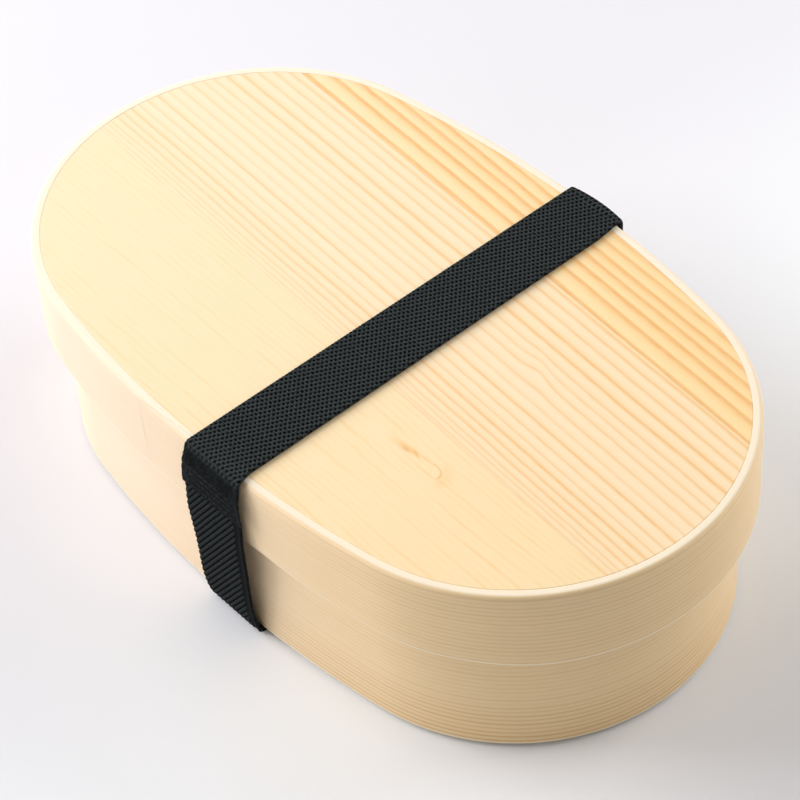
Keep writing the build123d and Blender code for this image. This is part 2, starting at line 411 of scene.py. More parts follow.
def even_plank(name, across_box, seed, pitch):
    """Pale plank with ordinary growth lines, for the base and the divider."""
    finish = Finish(name)
    plank = Plank(finish, 0.02, 0.0, seed)
    run, off = (plank.y, plank.z + plank.x * 0.4) if across_box else (plank.along, plank.across)
    grain = off + finish.noise(run / 48, off / 14, seed, 1.0) * 3.0
    step = finish.per_step(grain / pitch, seed)
    saw = finish.maths("FRACT", grain / pitch)
    band = (saw ** 3.0) * finish.between(saw, 1.0, 0.86) * (step * 0.6 + 0.4)
    streak = finish.noise(run / 6, off / 0.3, seed + 7, 3.0)
    colour = plank.body_colour((239, 216, 176), (240, 214, 172))
    colour = finish.mix((band * 0.85 + streak * 0.35 + 0.03).clip(), colour, linear(228, 178, 112))
    height = streak * 0.25 + band * 0.8
    return finish.wear(colour, 0.62 - streak * 0.2, height, 0.00002, WOOD_SHEEN)


def strip_wood(name, seed, low, high, pitch, first, foot_glow):
    """Quarter-sawn strip with even fine lines along its length; painted light pales it towards -X and paints
    highlights on its top and foot edges.
    """
    finish = Finish(name)
    u, v = finish.sheet("strip")
    x, y, z = finish.place()
    slow = finish.noise(u / 60, v / 14, seed, 1.0) * 0.5
    quick = finish.noise(u / 9, v / 2, seed, 2.0) * 0.2
    grain = (v - first) / pitch + slow + quick
    step = finish.per_step(grain + 0.5, seed)
    saw = finish.maths("FRACT", grain + 0.5)
    line = finish.bell(saw, 0.5, 0.17) * (step * 0.6 + 0.5)
    soft = finish.bell(saw, 0.62, 0.3) * (step * 0.5 + 0.2)
    fibre = finish.noise(u / 5, v * 3.5, seed, 3.0)
    hair = finish.bell(finish.maths("FRACT", v / 0.41 + quick), 0.5, 0.2)
    low_down = finish.between(z, low + 15.0, low + 1.0) * foot_glow
    # painted light: end is 0 towards -X, where the light falls brightest; there the strip is painted paler
    # and its lines fainter
    end = finish.between(x * 0.85 - y * 0.5, -15.0, 90.0)
    colour = finish.mix(end, linear(240, 219, 194), linear(241, 213, 167))
    share = (fibre * 0.45 + hair * 0.06 + soft * 0.22 + low_down * 0.16) * (end * 0.7 + 0.3)
    colour = finish.mix(share.clip(), colour, linear(220, 184, 128))
    share = line * (low_down * 0.42 + 0.22) * (end * 0.85 + 0.15)
    colour = finish.mix(share.clip(), colour, linear(198, 150, 92))
    # painted highlight: the flat top edge is painted pale where it catches the light
    top_highlight = finish.between(z, high - 0.11, high - 0.02)
    # painted highlight: a pale line along the rounded foot edge, where it catches the light
    foot_highlight = finish.between(z, low + 0.85, low + 0.55)
    colour = finish.mix((top_highlight * 0.85).clip(), colour, linear(240, 229, 208))
    colour = finish.mix(foot_highlight, colour, linear(250, 233, 203))
    height = fibre * 0.3 - line * 0.6
    return finish.wear(colour, 0.6 - fibre * 0.2, height, 0.00003, WOOD_SHEEN)


# ---- plan outlines ----------------------------------------------------------

class Oval:
    """A plan outline of four tangent arcs, walked anticlockwise from its +X end."""

    def __init__(self, half_length, half_width, side_radius):
        self.half_length = half_length
        self.half_width = half_width
        self.side_radius = side_radius
        rest = 2 * side_radius * half_width - half_length**2 - half_width**2
        self.end_radius = rest / (2 * (side_radius - half_length))
        self.side_centre = side_radius - half_width
        self.end_centre = half_length - self.end_radius
        turn = math.atan2(self.side_centre, self.end_centre)
        self.turns = np.array([0, turn, math.pi - turn, math.pi + turn, 2 * math.pi - turn, 2 * math.pi])
        radii = np.array([self.end_radius, side_radius, self.end_radius, side_radius, self.end_radius])
        self.lengths = np.concatenate([[0], np.cumsum(np.diff(self.turns) * radii)])
        self.round = self.lengths[-1]

    def half_width_at(self, x):
        return np.sqrt(self.side_radius**2 - x**2) - self.side_centre

    def heading(self, walked):
        """Direction of the outward normal after walking that far."""
        return np.interp(walked % self.round, self.lengths, self.turns)

    def walk_to(self, x, side):
        """How far round the point at x on a long side is."""
        angle = math.atan2(side * (self.half_width_at(x) + self.side_centre), x) % (2 * math.pi)
        return float(np.interp(angle, self.turns, self.lengths))

    def point(self, walked):
        """Points and outward normals after walking those distances."""
        angle = self.heading(walked)
        normal = np.stack([np.cos(angle), np.sin(angle)], axis=-1)
        turn = self.turns[1]
        on_side = np.abs(np.sin(angle)) > math.sin(turn)
        ends = np.stack([np.sign(normal[..., 0]) * self.end_centre, 0 * angle], axis=-1)
        sides = np.stack([0 * angle, -np.sign(normal[..., 1]) * self.side_centre], axis=-1)
        centre = np.where(on_side[..., None], sides, ends)
        radius = np.where(on_side, self.side_radius, self.end_radius)
        return centre + normal * radius[..., None], normal


LID_OVAL = Oval(LID_HIGH[0], LID_HIGH[1], SIDE_RADIUS)
BODY_OVAL = Oval(BODY_HIGH[0], BODY_HIGH[1], SIDE_RADIUS - LID_HOOP_T - SIDE_CLEARANCE)


def new_piece(name, points, faces, material):
    """A piece at the origin from points in millimetres."""
    mesh = bpy.data.meshes.new(name)
    mesh.from_pydata([tuple(p) for p in np.asarray(points) * MM], [], faces)
    mesh.materials.append(material)
    piece = bpy.data.objects.new(name, mesh)
    bpy.context.scene.collection.objects.link(piece)
    return piece


def smooth_with_edges(piece, degrees):
    """Smooth shading, but for edges that turn sharper than that."""
    shape = bmesh.new()
    shape.from_mesh(piece.data)
    for face in shape.faces:
        face.smooth = True
    for edge in shape.edges:
        edge.smooth = not edge.is_manifold or edge.calc_face_angle(0) < math.radians(degrees)
    shape.to_mesh(piece.data)
    shape.free()


def tube_faces(rows, ring):
    """Quads along and round a tube of rows of points, with a face over each end."""
    index = np.arange(rows * ring).reshape(rows, ring)
    after = np.roll(index, -1, axis=1)
    quads = np.stack([index[:-1], index[1:], after[1:], after[:-1]], axis=-1).reshape(-1, 4)
    ends = [tuple(index[0].tolist()), tuple(index[-1].tolist())[::-1]]
    return [tuple(quad) for quad in quads.tolist()] + ends


def lay_sheet(piece, layer_name, sheet):
    """Keeps where each point is on the piece's own sheet, given in millimetres."""
    corners = np.empty(len(piece.data.loops), dtype=np.int64)
    piece.data.loops.foreach_get("vertex_index", corners)
    layer = piece.data.uv_layers.new(name=layer_name)
    layer.data.foreach_set("uv", (sheet.reshape(-1, 2) * MM)[corners].ravel())


def face_outward(piece):
    """Turns every face of a closed piece outward."""
    shape = bmesh.new()
    shape.from_mesh(piece.data)
    bmesh.ops.recalc_face_normals(shape, faces=shape.faces)
    shape.to_mesh(piece.data)
    shape.free()


# ---- bent strips ------------------------------------------------------------

SCARF_TIP = 0.04            # thickness left at a strip's thinned end
SCARF_GAP = 0.05            # glue line between the two lapped ends


def wobble(u, waves):
    """Sum of a few slow waves round the strip, for hand-bent unevenness."""
    total = 0 * u
    for size, length, start in waves:
        total = total + size * np.sin(2 * math.pi * (u / length) + start)
    return total


def bent_strip(name, oval, thick, low, high, rounds, scarf, sway, material):
    """A strip bent round an oval, its thinned ends lapped in a scarf joint.

    rounds are the radii of its outer top, outer foot and inner top edges.
    """
    top_round, foot_round, inner_round = rounds
    scarf_x, scarf_length, side = scarf
    start = oval.walk_to(scarf_x + side * scarf_length / 2, side)
    whole = oval.round
    stations = np.concatenate([
        np.linspace(0, scarf_length, 49),
        np.linspace(scarf_length + 0.3, whole - 0.3, 620),
        np.linspace(whole, whole + scarf_length, 49),
    ])
    first_lap = np.clip(stations / scarf_length, 0, 1)
    inner = SCARF_TIP + (thick - 2 * SCARF_TIP) * first_lap - SCARF_GAP / 2
    inner = np.where(stations > scarf_length, thick, inner)
    last_lap = np.clip((stations - whole) / scarf_length, 0, 1)
    outer = SCARF_TIP + (thick - 2 * SCARF_TIP) * last_lap + SCARF_GAP / 2
    outer = np.where(stations >= whole, outer, 0.0)
    bends = np.linspace(0, math.pi / 2, 6)
    steps = np.concatenate([
        top_round * (1 - np.cos(bends)),
        np.linspace(top_round, thick - inner_round, 5)[1:-1],
        thick - inner_round * (1 - np.cos(bends[::-1])),
    ]) / thick
    wall = np.linspace(0, 1, 15)[1:-1]

    def top_height(depth):
        outside = np.clip(top_round - depth, 0, top_round)
        inside = np.clip(depth - (thick - inner_round), 0, inner_round)
        drop = top_round - np.sqrt(top_round**2 - outside**2)
        return high - drop - (inner_round - np.sqrt(inner_round**2 - inside**2))

    def foot_height(depth):
        outside = np.clip(foot_round - depth, 0, foot_round)
        return low + foot_round - np.sqrt(foot_round**2 - outside**2)

    points, sheets = [], []
    for walked, a, b in zip(stations, outer, inner):
        depth_top = a + (b - a) * steps
        top = top_height(depth_top)
        depth_foot = depth_top[::-1]
        foot = foot_height(depth_foot)
        up = foot[-1] + (top[0] - foot[-1]) * wall
        down = top[-1] + (foot[0] - top[-1]) * wall
        depth = np.concatenate([depth_top, np.full(len(wall), b), depth_foot, np.full(len(wall), a)])
        height = np.concatenate([top, down, foot, up])
        place, normal = oval.point(np.array([(start + walked) % whole]))
        shift = sway(place[0], height)
        spot = place[0][None] - normal[0][None] * (depth - shift)[:, None]
        points.append(np.column_stack([spot, height]))
        sheet_height = height + np.where(height > high - 0.02, depth, 0)
        sheets.append(np.column_stack([np.full(len(depth), walked), sheet_height]))
    faces = tube_faces(len(stations), len(points[0]))
    piece = new_piece(name, np.array(points).reshape(-1, 3), faces, material)
    lay_sheet(piece, "strip", np.array(sheets))
    face_outward(piece)
    smooth_with_edges(piece, 40)
    return piece


def lid_sway(place, height):
    """The band draws the lid's lower edge in where it crosses the long sides."""
    pull = math.exp(-((place[0] - BAND_X) / 42.0) ** 2) * abs(place[1]) / LID_OVAL.half_width
    hang = np.clip((LID_TOP - BOARD_T - height) / (LID_TOP - BOARD_T - SKIRT), 0, 1)
    uneven = wobble(place[0] + 0.6 * place[1], [(0.10, 61.0, 0.4), (0.06, 33.0, 1.9)])
    return hang * (uneven - 0.8 * pull)


def body_sway(place, height):
    """The body's strip is held by its board below and is free to wander above it."""
    free = np.clip((height - FOOT - BOARD_T) / 30.0, 0, 1)
    return free * wobble(place[0] - 0.5 * place[1], [(0.10, 70.0, 1.2), (0.05, 29.0, 0.3)])


# ---- elastic band -----------------------------------------------------------

def rounded_route(corners, radii, step):
    """Points, outward normals and distances along a route with rounded corners."""
    corners = [np.array(c, float) for c in corners]
    pieces = [corners[0]]
    for before, corner, after, radius in zip(corners, corners[1:], corners[2:], radii):
        one = (before - corner) / np.linalg.norm(before - corner)
        two = (after - corner) / np.linalg.norm(after - corner)
        half = math.acos(np.clip(one @ two, -1, 1)) / 2
        back = radius / math.tan(half)
        centre = corner + (one + two) / np.linalg.norm(one + two) * radius / math.sin(half)
        first, last = corner + one * back, corner + two * back
        a = math.atan2(*(first - centre)[::-1])
        b = math.atan2(*(last - centre)[::-1])
        turn = (b - a + math.pi) % (2 * math.pi) - math.pi
        for angle in a + np.linspace(0, 1, 13) * turn:
            pieces.append(centre + radius * np.array([math.cos(angle), math.sin(angle)]))
    pieces.append(corners[-1])
    pieces = np.array(pieces)
    lengths = np.concatenate([[0], np.cumsum(np.linalg.norm(np.diff(pieces, axis=0), axis=1))])
    keep = np.concatenate([[True], np.diff(lengths) > 1e-6])
    pieces, lengths = pieces[keep], lengths[keep]

    def spot_at(distance):
        return np.stack([np.interp(distance, lengths, pieces[:, k]) for k in (0, 1)], axis=-1)

    walked = [0.0]
    while walked[-1] < lengths[-1]:
        walked.append(walked[-1] + step(spot_at(walked[-1])))
    walked = np.array(walked[:-1] + [lengths[-1]])
    reach = 0.15
    along = spot_at(np.minimum(walked + reach, lengths[-1])) - spot_at(np.maximum(walked - reach, 0))
    along /= np.linalg.norm(along, axis=1)[:, None]
    outward = np.column_stack([along[:, 1], -along[:, 0]])
    return spot_at(walked), outward, walked


LID_RUN = LID_HIGH[1] + BAND_GAP + BAND_T / 2
BODY_RUN = BODY_HIGH[1] + BAND_GAP + BAND_T / 2
LOWER_RUN = FOOT - BAND_T / 2 + 0.02
UPPER_RUN = LID_TOP + BAND_GAP + BAND_T / 2
LAP_RUN = LID_RUN + BAND_T + 0.05


def smooth_step(value, low, high):
    t = np.clip((value - low) / (high - low), 0, 1)
    return t * t * (3 - 2 * t)


def rib_profile(phase):
    """Round ribs with narrow grooves between them, 0 in the groove and 1 on the crown."""
    off = np.abs((phase % 1.0) - 0.5) * 2
    return np.sqrt(np.clip(1 - off**2.6, 0, 1))


def pits(x, y):
    """Where a twill's floats dive, on its skewed lattice: 1 in a pit, below 0 between pits."""
    a = np.cos(2 * math.pi * (TWILL_ALONG[0] * y - TWILL_ACROSS * x))
    b = np.cos(2 * math.pi * (TWILL_ALONG[1] * y + TWILL_ACROSS * x))
    c = np.cos(2 * math.pi * TWILL_ALONG[2] * y)
    return (a + b + 0.7 * c) / 2.7


def elastic_webbing():
    """Woven elastic: ribbed on its hanging run, pitted twill elsewhere, fluffy at the lap."""
    finish = Finish("charcoal_woven_elastic")
    u, v = finish.sheet("web")
    x, _, z = finish.place()
    ribbed = finish.attribute("ribbed")
    fluffy = finish.attribute("fluffy")
    jolt = finish.noise(u * 0.9, v * 0.9, 3.0, 2.0) * 0.3
    across = v - BAND_X + jolt
    first = finish.maths("COSINE", (u * TWILL_ALONG[0] + across * TWILL_ACROSS) * math.tau)
    second = finish.maths("COSINE", (u * TWILL_ALONG[1] - across * TWILL_ACROSS) * math.tau)
    third = finish.maths("COSINE", (u * TWILL_ALONG[2] + jolt) * math.tau)
    dive = first * 1.5 + second * 0.75 + third * 0.5
    pit = finish.between(dive, 0.1, 1.6) * 0.65 + finish.between(dive, -1.3, 1.1) * 0.35
    rib = z * RIB_UP - (x - RIB_START_X + jolt * 0.6) * RIB_ALONG
    rib_step = finish.maths("FRACT", rib) - 0.5
    along_rib = (x * 0.594 + z * 0.805 + jolt) / 0.6
    pick = finish.bell(finish.maths("FRACT", along_rib), 0.5, 0.16) * 0.4
    groove = (finish.between(finish.maths("ABSOLUTE", rib_step), 0.25, 0.41) + pick).clip()
    selvage = finish.attribute("selvage")
    groove = groove * (1 - selvage) + selvage * 0.8
    thread = finish.noise(u * 2.6, v * 3.0, 1.0, 3.0) * 1.5
    fuzz = finish.noise(u * 3.1, v * 3.3, 5.0, 4.0)
    # painted highlight: small bright glints scattered over the crowns
    painted_glint = finish.between(finish.noise(u * 4.5, v * 4.5, 8.0, 1.0), 0.14, 0.3)
    # painted shade: the twill's pits and the ribs' grooves, and the selvage with them, are painted near black
    painted_hollow_shade = (pit * (1 - ribbed) + groove * ribbed) * (1 - fluffy * 0.85) + fluffy * 0.4
    dark = finish.mix((thread + 0.5).clip(), linear(2, 3, 3), linear(6, 8, 9))
    crown = finish.mix((thread * 1.3 + 0.45).clip(), linear(18, 22, 23), linear(72, 78, 79))
    crown = finish.mix(painted_glint * 0.55, crown, linear(128, 136, 138))
    colour = finish.mix((painted_hollow_shade - thread * 0.3).clip(), crown, dark)
    # painted shade: the hanging run, which faces the main light, is painted darker
    colour = finish.mix(ribbed * 0.4, colour, linear(10, 11, 12))
    lint = finish.mix((fuzz * 1.8 + 0.4).clip(), linear(8, 10, 11), linear(42, 46, 49))
    colour = finish.mix((fluffy * 0.75).clip(), colour, lint)
    height = thread * 0.6 - pit * (1 - ribbed) - groove * ribbed * 0.8 + fuzz * fluffy * 1.5
    return finish.wear(colour, 0.86 - ribbed * 0.06, height, 0.00012, FIBRE_SHEEN)


def band_route():
    """The band's middle line across the box, from its covered end round to the sewn one."""
    corners = [
        (-LID_RUN, LID_TOP - TUCK),
        (-LID_RUN, SKIRT),
        (-BODY_RUN, LOWER_RUN),
        (BODY_RUN, LOWER_RUN),
        (LID_RUN, SKIRT),
        (LID_RUN, UPPER_RUN),
        (-LID_RUN, UPPER_RUN),
        (-LAP_RUN, UPPER_RUN - LAP_SLANT),
        (-LAP_RUN, LID_TOP - LAP_DROP),
    ]
    bends = [6.5, 1.05, 1.05, 6.5, 1.1, 0.9, 3.0]

    def step(spot):
        """Longer steps under the box and down its far side, short ones elsewhere."""
        y, z = spot
        if z < 1.2 and abs(y) < BODY_RUN - 4:
            return 0.6
        if y > LID_RUN - 4 and z < UPPER_RUN - 2:
            return 0.3
        return 0.21

    return rounded_route(corners, bends, step)


def band_lie(y, z, walked, hanging):
    """How the band strays from a straight even ribbon, station by station.

    Gives the place of its middle along X, its half width, its bow off the body's near
    side and how far its fold bulges at the lid's far edge.
    """
    end = walked[-1]
    leaning = np.where(y < 0, BAND_LEAN * (1 - smooth_step(z, 2.0, 52.0) ** 0.8), 0)
    crossing = BAND_LEAN * np.clip((BODY_RUN - y) / (2 * BODY_RUN), 0, 1)
    middle = BAND_X + np.where(z < 1.4, crossing, leaning)
    half = BAND_WIDTH / 2 + np.where(hanging, 0.3 * (1 - smooth_step(z, 10, 50)), 0)

    # what each edge gains: the hanging run spreads upwards and slims under the lap, the lap
    # flares, and the band is pinched where it turns under the box and over the far edge
    slimmed = np.where(hanging, smooth_step(z, 41.0, 42.5) * 1.3, 0)
    left = np.where(hanging, smooth_step(z, 16.0, 36.0) * 1.65, 0) - slimmed
    left = left + smooth_step(walked, end - 12.5, end - 1.0) * 1.9
    right = smooth_step(walked, end - 17.0, end - 11.0) * 1.2 - slimmed
    right = right - smooth_step(y, LID_RUN - 9.0, LID_RUN) * smooth_step(z, 34.0, 48.0) * 0.7
    near_foot = smooth_step(-y, BODY_RUN - 14.0, BODY_RUN - 1.0) * (1 - smooth_step(z, 1.2, 5.0))
    right = right - near_foot * 0.5

    fall = np.clip((SKIRT - z) / (SKIRT - LOWER_RUN), 0, 1)
    bow = np.where(y < -BODY_RUN + 3, 1.8 * fall**1.2 * (1 - fall**4), 0)
    fold = 0.75 * smooth_step(y, LID_RUN - 2.5, LID_RUN - 0.2) * smooth_step(z, 30.0, 48.0)
    return middle + (right - left) / 2, half + (left + right) / 2, bow, fold


def elastic_band(material):
    """The band as one closed ribbon, dense enough to carry its weave."""
    spots, outward, walked = band_route()
    end = walked[-1]
    on_top = spots[:, 1] > UPPER_RUN - 0.4
    hanging = (spots[:, 0] < -BODY_RUN + 2) & (walked <= end - 14.0) & ~on_top
    middle, half, bow, fold = (
        values[:, None] for values in band_lie(spots[:, 0], spots[:, 1], walked, hanging)
    )
    columns = 63
    v = np.linspace(-1, 1, columns)
    v = (np.sign(v) * np.abs(v) ** 0.94)[None]

    def lay(share):
        """Where points lie that share of the half width away from the middle."""
        return middle + share * half, spots[:, :1] - bow + fold * (1 - share**2)

    # relief of the outer face, from 0 in the grooves to 1 on the crowns
    x, y = lay(v)
    z = spots[:, 1:]
    run = (walked - float(np.interp(0, -spots[on_top, 0], walked[on_top])))[:, None]
    ribbed = hanging[:, None].astype(float)
    rib = rib_profile(RIB_UP * z - RIB_ALONG * (x - RIB_START_X))
    selvage = smooth_step(v * half, half - 2.3, half - 1.7)
    ribs = rib * (1 - selvage) + 0.45 * selvage
    twill = 1 - smooth_step(pits(x - BAND_X, -run), -0.15, 0.75)
    cords = rib_profile(TWILL_ALONG[0] * -run - TWILL_ACROSS * (x - BAND_X) + 0.5)
    stretched = smooth_step(-y, 47.0, 54.0) * (spots[:, :1] < 0)
    twill = twill * (1 - stretched) + (0.55 * cords + 0.45 * twill) * stretched
    fluffy = smooth_step(walked, end - 13.2, end - 10.8)[:, None] + 0 * v
    relief = ribs * ribbed + twill * (1 - ribbed)
    relief = relief * (1 - 0.75 * fluffy) + 0.55 * 0.75 * fluffy

    # height of the outer face over the middle line, lower towards its rounded edges
    depth = 0.5 * ribbed + 0.3 * (1 - ribbed)
    away_from_edge = smooth_step(np.abs(v), 1.0, 0.9)
    swell = 0.06 * np.sin(x * 1.9 + y * 0.7 + z * 1.3) * fluffy
    pressed = LAP_PRESS * smooth_step(walked, end - LAP_PRESS_RUN, end)[:, None]
    crown = BAND_T / 2 - depth * (1 - relief) * away_from_edge + swell - pressed
    edge_round = np.sqrt(np.clip(1 - np.clip((np.abs(v) - 0.94) / 0.06, 0, 1) ** 2, 0, 1))
    crown = crown - (BAND_T * 0.35 - pressed * 0.3) * (1 - edge_round)

    # edges scalloped by the ribs and the twill
    twill_scallop = 0.07 * (1 - ribbed) * np.cos(2 * math.pi * TWILL_ALONG[2] * run)
    scallop = (rib - 0.6) * 0.75 * ribbed + twill_scallop
    x = x - scallop * smooth_step(-v, 0.85, 1.0) + scallop * smooth_step(v, 0.85, 1.0) * (1 - ribbed)

    out_y, out_z = outward[:, :1], outward[:, 1:]
    outer = np.stack([x, y + out_y * crown, z + out_z * crown], axis=-1)
    inside = v[:, [0, 6, 20, 31, 42, 56, 62]][:, ::-1]
    back = -BAND_T / 2 * np.array([0.35, 1, 1, 1, 1, 1, 0.35])
    x_in, y_in = lay(inside)
    inner = np.stack([x_in, y_in + out_y * back, z + out_z * back], axis=-1)
    grid = np.concatenate([outer, inner], axis=1)
    grid[..., 2] = np.maximum(grid[..., 2], 0.02)
    rows, ring = grid.shape[:2]
    piece = new_piece("elastic_webbing_band", grid.reshape(-1, 3), tube_faces(rows, ring), material)
    lay_sheet(piece, "web", np.stack([run + 0 * grid[..., 0], grid[..., 0]], axis=-1))
    for name, values in (("selvage", selvage * ribbed), ("fluffy", fluffy), ("ribbed", ribbed + 0 * x)):
        full = np.zeros((rows, ring))
        full[:, :columns] = values
        piece.data.attributes.new(name, "FLOAT", "POINT").data.foreach_set("value", full.ravel())
    face_outward(piece)
    smooth_with_edges(piece, 75)
    return piece


# ---- threads ----------------------------------------------------------------

def sewing_thread():
    """Dark twisted sewing thread, a little smoother than the band."""
    finish = Finish("charcoal_sewing_thread")
    x, y, z = finish.place()
    ply = finish.maths("SINE", (x * 3.4 + z * 2.2) * 2 * math.pi) * 0.5 + 0.5
    nap = finish.noise(x * 4, y * 4, z * 4, 2.0)
    colour = finish.mix((ply * 0.7 + nap).clip(), linear(12, 14, 15), linear(52, 57, 60))
    return finish.wear(colour, 0.7 - nap * 0.2, ply, 0.00004, {"Specular IOR Level": 0.2})


def lint_fibre():
    """Loose elastic fibre."""
    finish = Finish("charcoal_lint")
    x, y, z = finish.place()
    tone = finish.noise(x / 0.6, y / 0.6, z / 0.6, 2.0)
    colour = finish.mix((tone * 1.5 + 0.4).clip(), linear(12, 14, 15), linear(58, 63, 66))
    return finish.wear(colour, 0.9 - tone * 0.1, tone, 0.00001, {"Specular IOR Level": 0.1})


def rod_tree(name, inputs, material):
    """Geometry Nodes that put a small turned rod on every root."""
    tree = bpy.data.node_groups.new(name, "GeometryNodeTree")
    tree.interface.new_socket(name="Geometry", in_out="INPUT", socket_type="NodeSocketGeometry")
    for title in inputs:
        tree.interface.new_socket(name=title, in_out="INPUT", socket_type="NodeSocketFloat")
    tree.interface.new_socket(name="Seed", in_out="INPUT", socket_type="NodeSocketInt")
    tree.interface.new_socket(name="Geometry", in_out="OUTPUT", socket_type="NodeSocketGeometry")
    kinds = {
        "in": "NodeGroupInput", "out": "NodeGroupOutput", "rod": "GeometryNodeMeshCylinder",
        "place": "GeometryNodeInstanceOnPoints", "real": "GeometryNodeRealizeInstances",
        "paint": "GeometryNodeSetMaterial", "facing": "GeometryNodeInputNamedAttribute",
        "aim": "FunctionNodeAlignRotationToVector", "turn": "FunctionNodeRandomValue",
        "rotate": "FunctionNodeRotateRotation", "grow": "FunctionNodeRandomValue",
        "high": "ShaderNodeCombineXYZ", "low": "ShaderNodeVectorMath",
        "euler": "FunctionNodeEulerToRotation",
    }
    made = {key: tree.nodes.new(kind) for key, kind in kinds.items()}
    made["facing"].data_type = "FLOAT_VECTOR"
    made["facing"].inputs["Name"].default_value = "outward"
    made["turn"].data_type = "FLOAT_VECTOR"
    made["grow"].data_type = "FLOAT"
    made["grow"].inputs[2].default_value = 0.85
    made["grow"].inputs[3].default_value = 1.15
    made["aim"].axis = "Z"
    made["rotate"].rotation_space = "LOCAL"
    made["low"].operation = "MULTIPLY"
    made["low"].inputs[1].default_value = (-1.0, -1.0, -1.0)
    made["rod"].inputs["Vertices"].default_value = 6
    made["paint"].inputs["Material"].default_value = material
    joints = [
        ("in", "Length", "rod", "Depth"), ("in", "Thickness", "rod", "Radius"),
        ("in", "Geometry", "place", "Points"), ("rod", "Mesh", "place", "Instance"),
        ("in", "Spread", "high", "X"), ("in", "Spread", "high", "Y"), ("in", "Spread", "high", "Z"),
        ("high", "Vector", "low", 0), ("low", "Vector", "turn", "Min"), ("high", "Vector", "turn", "Max"),
        ("in", "Seed", "turn", "Seed"), ("in", "Seed", "grow", "Seed"), ("grow", 1, "place", "Scale"),
        ("facing", "Attribute", "aim", "Vector"), ("aim", "Rotation", "rotate", "Rotation"),
        ("turn", 0, "euler", 0), ("euler", "Rotation", "rotate", "Rotate By"),
        ("rotate", "Rotation", "place", "Rotation"), ("place", "Instances", "real", "Geometry"),
        ("real", "Geometry", "paint", "Geometry"), ("paint", "Geometry", "out", "Geometry"),
    ]
    for first, output, second, into in joints:
        tree.links.new(made[first].outputs[output], made[second].inputs[into])
    return tree


def scatter(name, roots, outward, material, inputs, seed):
    """Small rods on the given roots, kept as a plain mesh."""
    base = new_piece(name + "_roots", roots, [], material)
    base.data.attributes.new("outward", "FLOAT_VECTOR", "POINT").data.foreach_set("vector", outward.ravel())
    grown = base.modifiers.new("grow", "NODES")
    grown.node_group = rod_tree(name + "_tree", inputs, material)
    sockets = grown.node_group.interface.items_tree
    named = {item.name: item.identifier for item in sockets if item.in_out == "INPUT"}
    for title, value in inputs.items():
        grown[named[title]] = float(value)
    grown[named["Seed"]] = seed
    base.data.update()
    mesh = bpy.data.meshes.new_from_object(base.evaluated_get(bpy.context.evaluated_depsgraph_get()))
    mesh.name = name
    mesh.materials.clear()
    mesh.materials.append(material)
    piece = bpy.data.objects.new(name, mesh)
    bpy.context.scene.collection.objects.link(piece)
    bpy.data.objects.remove(base)
    smooth_with_edges(piece, 60)
    return piece


def lap_face(z):
    """How far out the sewn lap's face is at a height, taking its slanted upper part as upright."""
    thinned = smooth_step(LID_TOP - LAP_DROP + LAP_PRESS_RUN - z, 0.0, LAP_PRESS_RUN)
    return LAP_RUN + BAND_T / 2 - LAP_PRESS * thinned


def stitches():
    """Rows of short stitches through the lap."""
    low, high = span("band_stitching")
    rows = np.linspace(low[2] + 0.175, high[2] - 0.175, 4)
    columns = np.linspace(low[0] + 0.65, high[0] - 0.65, 8)
    roots = np.array([(x, -lap_face(z) + 0.02, z) for z in rows for x in columns])
    outward = np.tile([1.0, 0.0, 0.0], (len(roots), 1))
    inputs = {"Length": 1.25 * MM, "Thickness": 0.15 * MM, "Spread": 0.07}
    return scatter("lap_stitches", roots, outward, sewing_thread(), inputs, 4)


def lint():
    """Fine fibres standing off the lap and the corner above it."""
    dice = np.random.default_rng(12)
    count = 1500
    z = dice.uniform(LID_TOP - LAP_DROP - 0.3, LID_TOP - 0.4, count)
    x = BAND_X + dice.uniform(-0.5, 0.5, count) * (BAND_WIDTH - 0.6)
    corner = np.clip(z - (LID_TOP - 2.2), 0, None)
    roots = np.column_stack([x, -lap_face(z) + 0.12 + corner**2 * 0.28, z])
    along_box, upward = dice.normal(0, 0.7, count), dice.normal(-0.5, 0.7, count)
    outward = np.column_stack([along_box, -np.ones(count), upward])
    inputs = {"Length": 0.75 * MM, "Thickness": 0.035 * MM, "Spread": 0.6}
    return scatter("lap_lint", roots, outward, lint_fibre(), inputs, 9)


# ---- camera and studio ------------------------------------------------------

VIEW_AZIMUTH = 52.32
VIEW_ELEVATION = 46.04
VIEW_ROLL = -5.00
VIEW_DISTANCE = 0.6825
VIEW_ASIDE = 0.00206
VIEW_ABOVE = 0.01648
VIEW_LENS = 135.65


def place_camera():
    """A long lens looking down on the box's near side, tipped a little."""
    turn = math.radians(VIEW_AZIMUTH)
    lift = math.radians(VIEW_ELEVATION)
    roll = math.radians(VIEW_ROLL)
    back = Vector((math.sin(turn) * math.cos(lift), -math.cos(turn) * math.cos(lift), math.sin(lift)))
    right = Vector((math.cos(turn), math.sin(turn), 0))
    up = back.cross(right)
    place = Vector((0, 0, FOOT * MM)) + back * VIEW_DISTANCE + right * VIEW_ASIDE + up * VIEW_ABOVE
    level_right = right * math.cos(roll) + up * math.sin(roll)
    level_up = up * math.cos(roll) - right * math.sin(roll)
    camera = bpy.data.objects.new("camera", bpy.data.cameras.new("camera"))
    bpy.context.scene.collection.objects.link(camera)
    turned = Matrix((level_right, level_up, back)).transposed().to_4x4()
    camera.matrix_world = Matrix.Translation(place) @ turned
    camera.data.lens = VIEW_LENS
    camera.data.sensor_width = 36.0
    camera.data.clip_start = 0.01
    bpy.context.scene.camera = camera


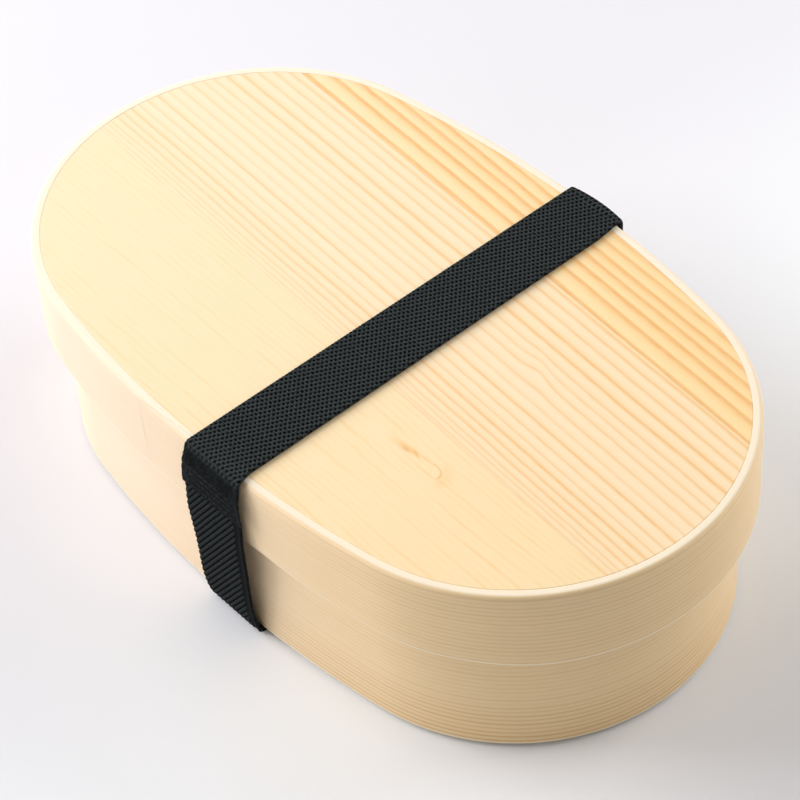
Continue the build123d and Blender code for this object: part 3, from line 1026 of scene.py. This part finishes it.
def soft_light(name, place, power, colour):
    """A square soft box at place, facing the middle of the closed box."""
    light = bpy.data.lights.new(name, "AREA")
    light.shape = "SQUARE"
    light.size = 0.8
    light.energy = power
    light.color = colour
    lamp = bpy.data.objects.new(name, light)
    bpy.context.scene.collection.objects.link(lamp)
    lamp.location = place
    ray = Vector((0, 0, 0.03)) - Vector(place)
    lamp.rotation_euler = ray.to_track_quat("-Z", "Y").to_euler()


def studio():
    """A pale room, soft lights and a plain paper floor."""
    world = bpy.data.worlds.new("studio")
    bpy.context.scene.world = world
    world.use_nodes = True
    backdrop = world.node_tree.nodes["Background"]
    backdrop.inputs[0].default_value = (1.0, 0.975, 0.945, 1)
    backdrop.inputs[1].default_value = 0.27
    bpy.context.scene.view_settings.view_transform = "Standard"
    cool, warm = (0.99, 0.985, 1.0), (1.0, 0.99, 0.98)
    lights = [
        ("window", (-0.8, -0.5, 0.6), 12.8, cool),
        ("side_window", (-1.0, 0.0, 0.55), 4.0, cool),
        ("front_card", (-0.35, -0.95, 0.6), 2.4, warm),
        ("back_window", (0.3, 1.0, 0.5), 8.6, warm),
        ("reflector", (0.75, 0.6, 0.6), 1.6, (1.0, 0.99, 0.97)),
    ]
    for name, place, power, colour in lights:
        soft_light(name, place, power, colour)
    finish = Finish("paper_floor")
    x, y, _ = finish.place()
    tone = finish.noise(x / 60, y / 60, 1.0, 2.0)
    lit_side = finish.bell(x + tone * 20, 48.0, 75.0)
    colour = finish.mix(lit_side, linear(217, 216, 221), linear(236, 238, 241))
    paper = finish.wear(colour, 0.8, tone, 0.00001, {"Specular IOR Level": 0.1})
    corners = [(-2500, -2500, 0), (2500, -2500, 0), (2500, 2500, 0), (-2500, 2500, 0)]
    floor = new_piece("floor", corners, [(0, 1, 2, 3)], paper)


# ---- put it together --------------------------------------------------------

def paint(node, material):
    """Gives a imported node's surface its finish."""
    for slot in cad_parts[node].material_slots:
        slot.material = material


place_camera()
studio()

paint("lid_board_near", plain_plank())
paint("lid_board_middle", lined_plank())
paint("lid_board_far", banded_plank())
paint("base_board_wide", even_plank("pale_softwood_base_wide", False, 51.0, 3.1))
paint("base_board_narrow", even_plank("pale_softwood_base_narrow", False, 63.0, 2.2))
paint("divider", even_plank("pale_softwood_divider", True, 71.0, 2.6))

lid_strip = bent_strip(
    "lid_bent_strip", LID_OVAL, LID_HOOP_T, SKIRT, LID_TOP,
    rounds=(1.0, 0.5, 0.12), scarf=LID_SCARF, sway=lid_sway,
    material=strip_wood("bent_strip_lid", 3.0, SKIRT, LID_TOP, pitch=1.19, first=33.4, foot_glow=0.0),
)
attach(lid_strip, "lid")
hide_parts("lid_hoop")

body_strip = bent_strip(
    "body_bent_strip", BODY_OVAL, BODY_HOOP_T, FOOT, MOUTH,
    rounds=(0.7, 0.5, 0.7), scarf=BODY_SCARF, sway=body_sway,
    material=strip_wood("bent_strip_body", 9.0, FOOT, MOUTH, pitch=1.33, first=2.2, foot_glow=1.0),
)
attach(body_strip, "box")
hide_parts("body_hoop")

band = elastic_band(elastic_webbing())
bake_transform(band)
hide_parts("elastic_band")

for thread_piece, finish_slot in ((stitches(), "thread"), (lint(), "elastic_webbing")):
    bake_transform(thread_piece)
    if finish_slot == "thread":
        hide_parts("band_stitching")
